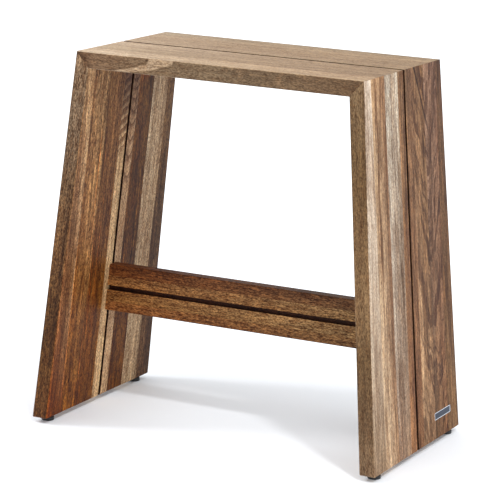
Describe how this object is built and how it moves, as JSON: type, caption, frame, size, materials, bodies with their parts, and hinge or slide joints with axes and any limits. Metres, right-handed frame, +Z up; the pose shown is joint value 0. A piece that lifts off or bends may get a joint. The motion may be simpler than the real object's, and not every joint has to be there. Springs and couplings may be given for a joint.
{
  "type": "shower stool",
  "caption": "Solid wood shower stool: mitred seat and splayed side panels with a centre groove, tied by a grooved stretcher, on screw-adjustable glides.",
  "frame": {"origin": "on the floor, under the middle of the seat", "axes": "+X along the seat towards the panel with the nameplate, -Y the front, +Z up"},
  "size_m": [0.4476, 0.2538, 0.45],
  "materials": {
    "seat_wood": "oiled, satin, pale edge-glued staves",
    "panel_wood": "oiled, satin, mixed heartwood and sapwood staves",
    "stretcher_wood": "oiled, satin, dark heartwood",
    "dowel_wood": "plain beech",
    "glide_plastic": "black nylon",
    "zinc_steel": "zinc plated",
    "plate_steel": "etched field, bright rim",
    "tape": "adhesive foam"
  },
  "bodies": {
    "stool": {"seat_panel": "seat_wood", "left_panel": "panel_wood", "right_panel": "panel_wood", "stretcher": "stretcher_wood", "mitre_dowel_left_1": "dowel_wood", "mitre_dowel_left_2": "dowel_wood", "mitre_dowel_left_3": "dowel_wood", "mitre_dowel_left_4": "dowel_wood", "stretcher_dowel_left_lower": "dowel_wood", "stretcher_dowel_left_upper": "dowel_wood", "mitre_dowel_right_1": "dowel_wood", "mitre_dowel_right_2": "dowel_wood", "mitre_dowel_right_3": "dowel_wood", "mitre_dowel_right_4": "dowel_wood", "stretcher_dowel_right_lower": "dowel_wood", "stretcher_dowel_right_upper": "dowel_wood", "glide_insert_front_left": "zinc_steel", "glide_insert_front_right": "zinc_steel", "glide_insert_rear_left": "zinc_steel", "glide_insert_rear_right": "zinc_steel", "nameplate": "plate_steel", "nameplate_tape": "tape"},
    "pad_front_left": {"glide_pad_front_left": "glide_plastic"},
    "stem_front_left": {"glide_stem_front_left": "zinc_steel"},
    "pad_front_right": {"glide_pad_front_right": "glide_plastic"},
    "stem_front_right": {"glide_stem_front_right": "zinc_steel"},
    "pad_rear_left": {"glide_pad_rear_left": "glide_plastic"},
    "stem_rear_left": {"glide_stem_rear_left": "zinc_steel"},
    "pad_rear_right": {"glide_pad_rear_right": "glide_plastic"},
    "stem_rear_right": {"glide_stem_rear_right": "zinc_steel"}
  },
  "joints": [
    {"name": "glide_travel_front_left", "type": "slide", "parent": "stool", "child": "pad_front_left", "axis": [0, 0, -1], "range_m": [-0.00075, 0.006]},
    {"name": "stem_turn_front_left", "type": "hinge", "parent": "pad_front_left", "child": "stem_front_left", "pos_m": [-0.21446, -0.106, 0], "axis": [0, 0, -1], "range_deg": [-271, 2161]},
    {"name": "glide_travel_front_right", "type": "slide", "parent": "stool", "child": "pad_front_right", "axis": [0, 0, -1], "range_m": [-0.00075, 0.006]},
    {"name": "stem_turn_front_right", "type": "hinge", "parent": "pad_front_right", "child": "stem_front_right", "pos_m": [0.21446, -0.106, 0], "axis": [0, 0, -1], "range_deg": [-271, 2161]},
    {"name": "glide_travel_rear_left", "type": "slide", "parent": "stool", "child": "pad_rear_left", "axis": [0, 0, -1], "range_m": [-0.00075, 0.006]},
    {"name": "stem_turn_rear_left", "type": "hinge", "parent": "pad_rear_left", "child": "stem_rear_left", "pos_m": [-0.21446, 0.106, 0], "axis": [0, 0, -1], "range_deg": [-271, 2161]},
    {"name": "glide_travel_rear_right", "type": "slide", "parent": "stool", "child": "pad_rear_right", "axis": [0, 0, -1], "range_m": [-0.00075, 0.006]},
    {"name": "stem_turn_rear_right", "type": "hinge", "parent": "pad_rear_right", "child": "stem_rear_right", "pos_m": [0.21446, 0.106, 0], "axis": [0, 0, -1], "range_deg": [-271, 2161]}
  ],
  "couplings": [
    {"joint": "stem_turn_front_left", "follows": "glide_travel_front_left", "rad_per_m": 6283.2},
    {"joint": "stem_turn_front_right", "follows": "glide_travel_front_right", "rad_per_m": 6283.2},
    {"joint": "stem_turn_rear_left", "follows": "glide_travel_rear_left", "rad_per_m": 6283.2},
    {"joint": "stem_turn_rear_right", "follows": "glide_travel_rear_right", "rad_per_m": 6283.2}
  ]
}
